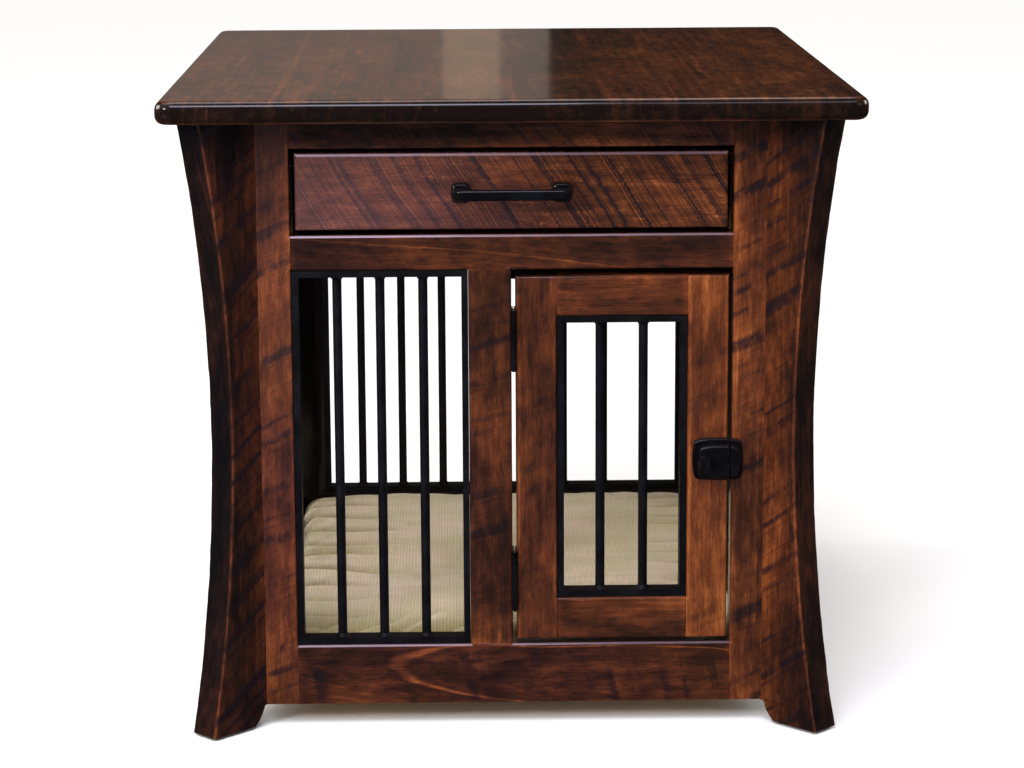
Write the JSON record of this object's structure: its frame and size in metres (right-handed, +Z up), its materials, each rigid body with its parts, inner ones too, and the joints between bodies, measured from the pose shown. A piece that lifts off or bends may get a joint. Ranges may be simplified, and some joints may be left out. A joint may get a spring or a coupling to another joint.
{
  "type": "dog crate end table",
  "caption": "End table of dark stained wood on flared corner legs, with a drawer over a small pet crate that has a barred latching door and a ribbed cushion.",
  "frame": {"origin": "middle of the table top's outline, on the floor", "axes": "+Z up, -Y the side with the door and the drawer, +X to the right of someone facing the door, +Y the long way, front to back"},
  "size_m": [0.66, 0.78, 0.62],
  "materials": {
    "stained_wood": "satin dark reddish-brown stain over sawn grain",
    "table_top_wood": "glossy clear coat over dark reddish-brown stain",
    "drawer_front_wood": "satin dark stain over rough-sawn face",
    "inner_wood": "clear coated birch plywood and pine",
    "grille_black": "satin black paint over welded steel",
    "hardware_black": "semi-gloss black",
    "zinc_steel": "bright zinc plate",
    "cushion_fabric": "fine ribbed weave",
    "glide_plastic": "matte black"
  },
  "bodies": {
    "case": {"leg_front_left": "stained_wood", "leg_front_right": "stained_wood", "leg_rear_left": "stained_wood", "leg_rear_right": "stained_wood", "front_stile_left": "stained_wood", "front_stile_right": "stained_wood", "front_top_rail": "stained_wood", "front_middle_rail": "stained_wood", "front_bottom_rail": "stained_wood", "front_centre_post": "stained_wood", "door_stop": "stained_wood", "back_stile_left": "stained_wood", "back_stile_right": "stained_wood", "back_top_rail": "stained_wood", "back_bottom_rail": "stained_wood", "left_front_stile": "stained_wood", "left_rear_stile": "stained_wood", "left_top_rail": "stained_wood", "left_bottom_rail": "stained_wood", "right_front_stile": "stained_wood", "right_rear_stile": "stained_wood", "right_top_rail": "stained_wood", "right_bottom_rail": "stained_wood", "top_panel": "table_top_wood", "crate_floor": "inner_wood", "crate_ceiling": "inner_wood", "floor_cleats": "inner_wood", "runner_blocks": "inner_wood", "front_grille": "grille_black", "back_grille": "grille_black", "left_grille": "grille_black", "right_grille": "grille_black", "latch_strike": "hardware_black", "hinge_frame_leaves": "hardware_black", "hinge_pins": "hardware_black", "hinge_screws_frame": "hardware_black", "slide_cabinet_members": "zinc_steel", "top_angles": "zinc_steel", "cushion": "cushion_fabric", "foot_glides": "glide_plastic"},
    "drawer": {"drawer_front": "drawer_front_wood", "drawer_side_left": "inner_wood", "drawer_side_right": "inner_wood", "drawer_inner_front": "inner_wood", "drawer_back": "inner_wood", "drawer_bottom": "inner_wood", "drawer_pull": "hardware_black", "pull_screws": "zinc_steel", "slide_drawer_members": "zinc_steel"},
    "slide_middle": {"slide_middle_members": "zinc_steel"},
    "door": {"door_hinge_stile": "stained_wood", "door_latch_stile": "stained_wood", "door_top_rail": "stained_wood", "door_bottom_rail": "stained_wood", "door_grille": "grille_black", "hinge_door_leaves": "hardware_black", "hinge_screws_door": "hardware_black", "latch_case": "hardware_black"},
    "latch_knob": {"latch_knob": "hardware_black"},
    "latch_bolt": {"latch_bolt": "hardware_black"}
  },
  "joints": [
    {"name": "drawer_slide", "type": "slide", "parent": "case", "child": "drawer", "axis": [0, -1, 0], "range_m": [0, 0.45]},
    {"name": "slide_middle_travel", "type": "slide", "parent": "case", "child": "slide_middle", "axis": [0, -1, 0], "range_m": [0, 0.2255]},
    {"name": "door_swing", "type": "hinge", "parent": "case", "child": "door", "pos_m": [0.0011, -0.3286, 0.26445], "axis": [0, 0, -1], "range_deg": [0, 165]},
    {"name": "latch_turn", "type": "hinge", "parent": "door", "child": "latch_knob", "pos_m": [0.1855, -0.343, 0.265], "axis": [0, 1, 0], "range_deg": [0, 90]},
    {"name": "bolt_throw", "type": "slide", "parent": "door", "child": "latch_bolt", "axis": [1, 0, 0], "range_m": [0, 0.007]}
  ],
  "couplings": [
    {"joint": "slide_middle_travel", "follows": "drawer_slide", "ratio": 0.5},
    {"joint": "latch_turn", "follows": "bolt_throw", "rad_per_m": 224.39}
  ]
}
